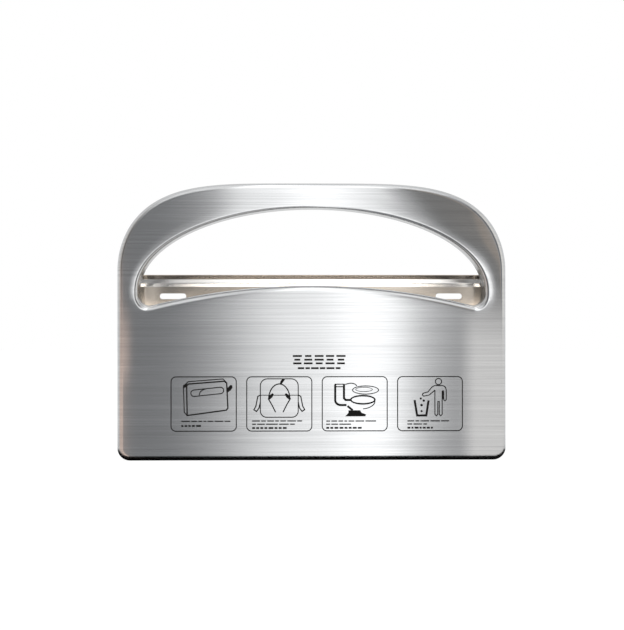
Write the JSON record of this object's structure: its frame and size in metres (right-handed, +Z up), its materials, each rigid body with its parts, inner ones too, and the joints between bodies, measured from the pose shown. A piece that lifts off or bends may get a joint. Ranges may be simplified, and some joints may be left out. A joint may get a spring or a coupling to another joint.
{
  "type": "toilet seat cover dispenser",
  "caption": "Wall-hung stainless dispenser for flat paper seat covers: drawn shell with a wide arched window over a slotted wall plate.",
  "frame": {"origin": "centre of the four screw slots, on the wall plane that the plate's back lies in", "axes": "+X to the right as seen from the room, -Y out of the wall towards the room, +Z up"},
  "size_m": [0.4, 0.0502, 0.2849],
  "materials": {
    "shell_steel": "satin, brushed left to right",
    "plate_steel": "satin, brushed left to right",
    "print_ink": "screen-printed black"
  },
  "bodies": {
    "root": {"front_shell": "shell_steel", "back_plate": "plate_steel", "heading_print": "print_ink", "take_panel_print": "print_ink", "lay_panel_print": "print_ink", "flush_panel_print": "print_ink", "bin_panel_print": "print_ink"}
  },
  "joints": []
}
